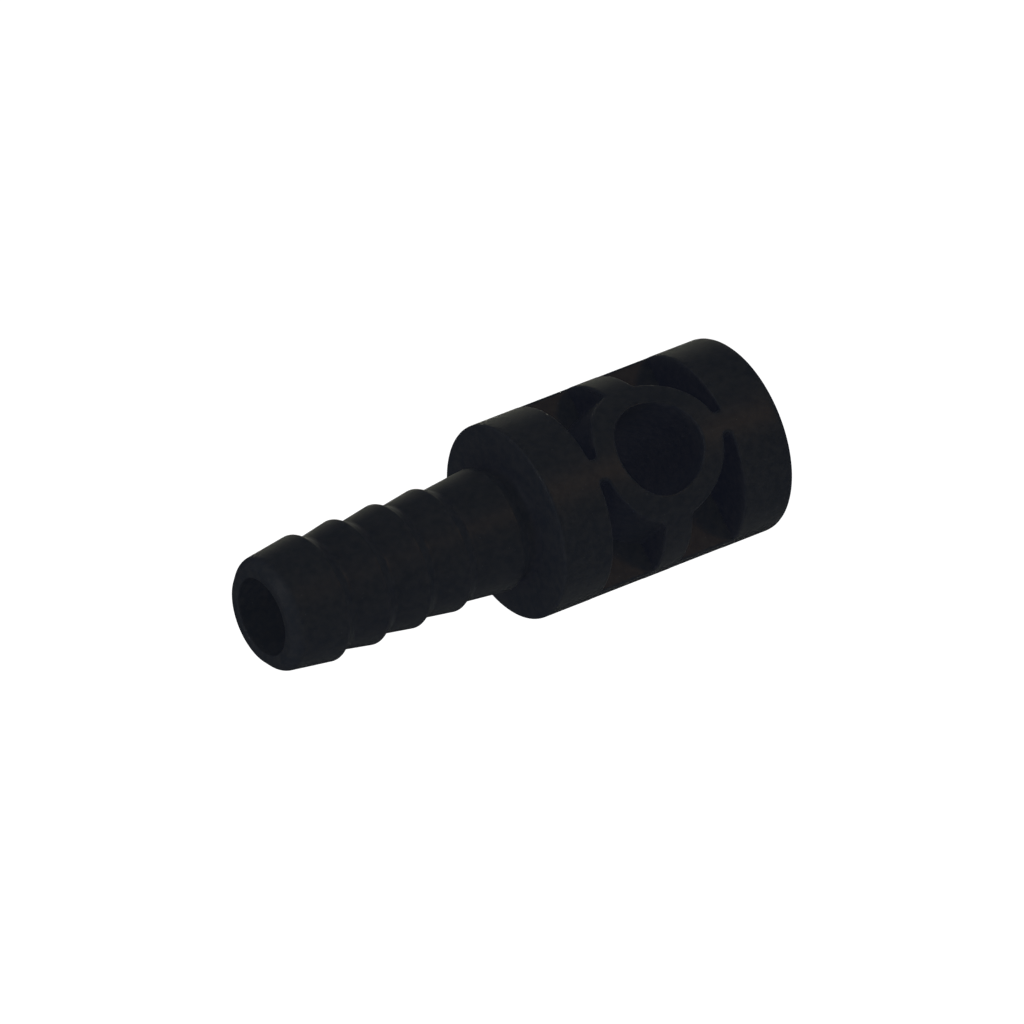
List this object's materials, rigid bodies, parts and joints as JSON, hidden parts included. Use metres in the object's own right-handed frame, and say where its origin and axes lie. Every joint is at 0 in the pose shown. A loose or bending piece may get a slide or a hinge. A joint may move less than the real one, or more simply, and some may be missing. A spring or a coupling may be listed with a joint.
{
  "type": "hose connector",
  "caption": "Straight moulded hose connector: a round body with a cross bore in a ring boss between cored pockets, and a barbed hosetail on one end.",
  "frame": {"origin": "middle of the flat end face, which the part stands on", "axes": "+Z along the axis from the flat end to the tip of the hosetail, +Y along the cross bore"},
  "size_m": [0.022, 0.022, 0.0624],
  "materials": {
    "black_plastic": "satin"
  },
  "bodies": {
    "root": {"hose_connector": "black_plastic"}
  },
  "joints": []
}
